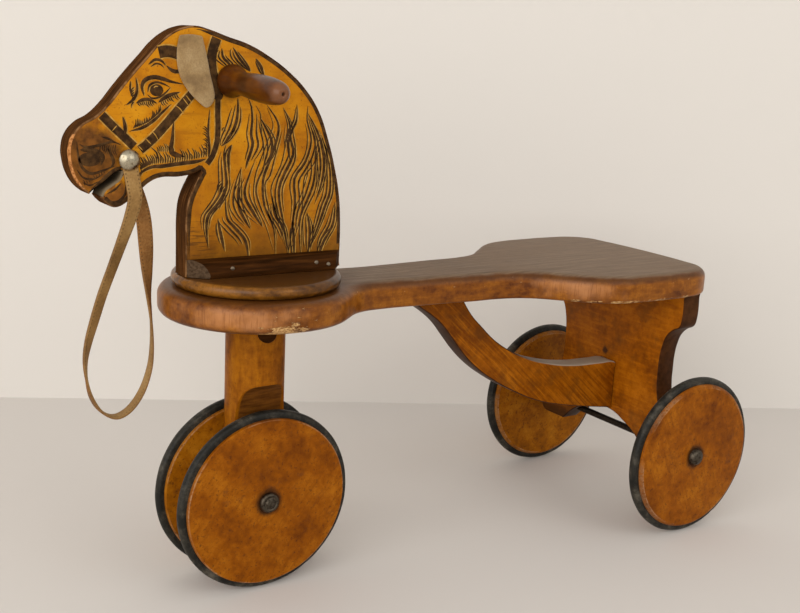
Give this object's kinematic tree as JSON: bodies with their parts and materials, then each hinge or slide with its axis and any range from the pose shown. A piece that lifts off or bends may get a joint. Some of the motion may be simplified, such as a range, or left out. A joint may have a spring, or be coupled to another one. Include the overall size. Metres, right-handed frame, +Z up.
{
  "type": "horse tricycle",
  "caption": "Wooden ride-on toy: a flat horse's head with handles and a rein steers paired front wheels, and a shaped plank seat rests on a rear board with two wheels.",
  "frame": {"origin": "on the floor, under the middle of the toy's length", "axes": "+X forward to the horse's nose, +Y to the rider's left, +Z up"},
  "size_m": [0.5838, 0.2218, 0.413],
  "materials": {
    "honey_wood": "worn varnish, orange honey",
    "wheel_wood": "worn varnish, mottled",
    "printed_wood": "golden varnish with dark ink lines",
    "red_wood": "red-brown gloss stain",
    "dark_wood": "dark stain",
    "bare_wood": "unfinished",
    "black_rubber": "aged matt rubber",
    "dark_steel": "dark aged steel",
    "nickel": "worn nickel plate",
    "tan_leather": "dry tan leather",
    "grey_suede": "grey-beige suede"
  },
  "bodies": {
    "frame": {"seat_plank": "honey_wood", "curved_brace": "honey_wood", "rear_leg_board": "honey_wood", "seat_dowel_left": "bare_wood", "seat_dowel_right": "bare_wood", "brace_dowel_front": "bare_wood", "brace_dowel_rear": "bare_wood", "brace_toe_nail": "dark_steel", "rear_axle": "dark_steel", "rear_washer_left": "dark_steel", "rear_washer_right": "dark_steel", "rear_hub_cap_left": "dark_steel", "rear_hub_cap_right": "dark_steel"},
    "steering": {"steering_post": "honey_wood", "steering_spindle": "bare_wood", "post_cross_peg": "dark_wood", "turntable_disc": "red_wood", "head_board": "printed_wood", "cleat_left": "dark_wood", "cleat_right": "dark_wood", "cleat_nail_left_1": "dark_steel", "cleat_nail_left_2": "dark_steel", "cleat_nail_left_3": "dark_steel", "cleat_nail_right_1": "dark_steel", "cleat_nail_right_2": "dark_steel", "cleat_nail_right_3": "dark_steel", "handle_left": "red_wood", "handle_right": "red_wood", "ear_left": "grey_suede", "ear_right": "grey_suede", "rein_strap": "tan_leather", "rein_tack_left": "nickel", "rein_tack_right": "nickel", "front_axle": "dark_steel", "front_washer_left": "dark_steel", "front_washer_right": "dark_steel", "front_hub_cap_left": "dark_steel", "front_hub_cap_right": "dark_steel"},
    "front_wheel_left_body": {"front_wheel_left": "wheel_wood", "front_tyre_left": "black_rubber"},
    "front_wheel_right_body": {"front_wheel_right": "wheel_wood", "front_tyre_right": "black_rubber"},
    "rear_wheel_left_body": {"rear_wheel_left": "wheel_wood", "rear_tyre_left": "black_rubber"},
    "rear_wheel_right_body": {"rear_wheel_right": "wheel_wood", "rear_tyre_right": "black_rubber"}
  },
  "joints": [
    {"name": "steering_turn", "type": "hinge", "parent": "frame", "child": "steering", "pos_m": [0.15185, 0, 0.22], "axis": [0, 0, 1], "range_deg": [-135, 135]},
    {"name": "front_wheel_left_spin", "type": "hinge", "parent": "steering", "child": "front_wheel_left_body", "pos_m": [0.15185, 0.0208, 0.07], "axis": [0, 1, 0], "continuous": true},
    {"name": "front_wheel_right_spin", "type": "hinge", "parent": "steering", "child": "front_wheel_right_body", "pos_m": [0.15185, -0.0208, 0.07], "axis": [0, 1, 0], "continuous": true},
    {"name": "rear_wheel_left_spin", "type": "hinge", "parent": "frame", "child": "rear_wheel_left_body", "pos_m": [-0.22185, 0.0985, 0.07], "axis": [0, 1, 0], "continuous": true},
    {"name": "rear_wheel_right_spin", "type": "hinge", "parent": "frame", "child": "rear_wheel_right_body", "pos_m": [-0.22185, -0.0985, 0.07], "axis": [0, 1, 0], "continuous": true}
  ]
}
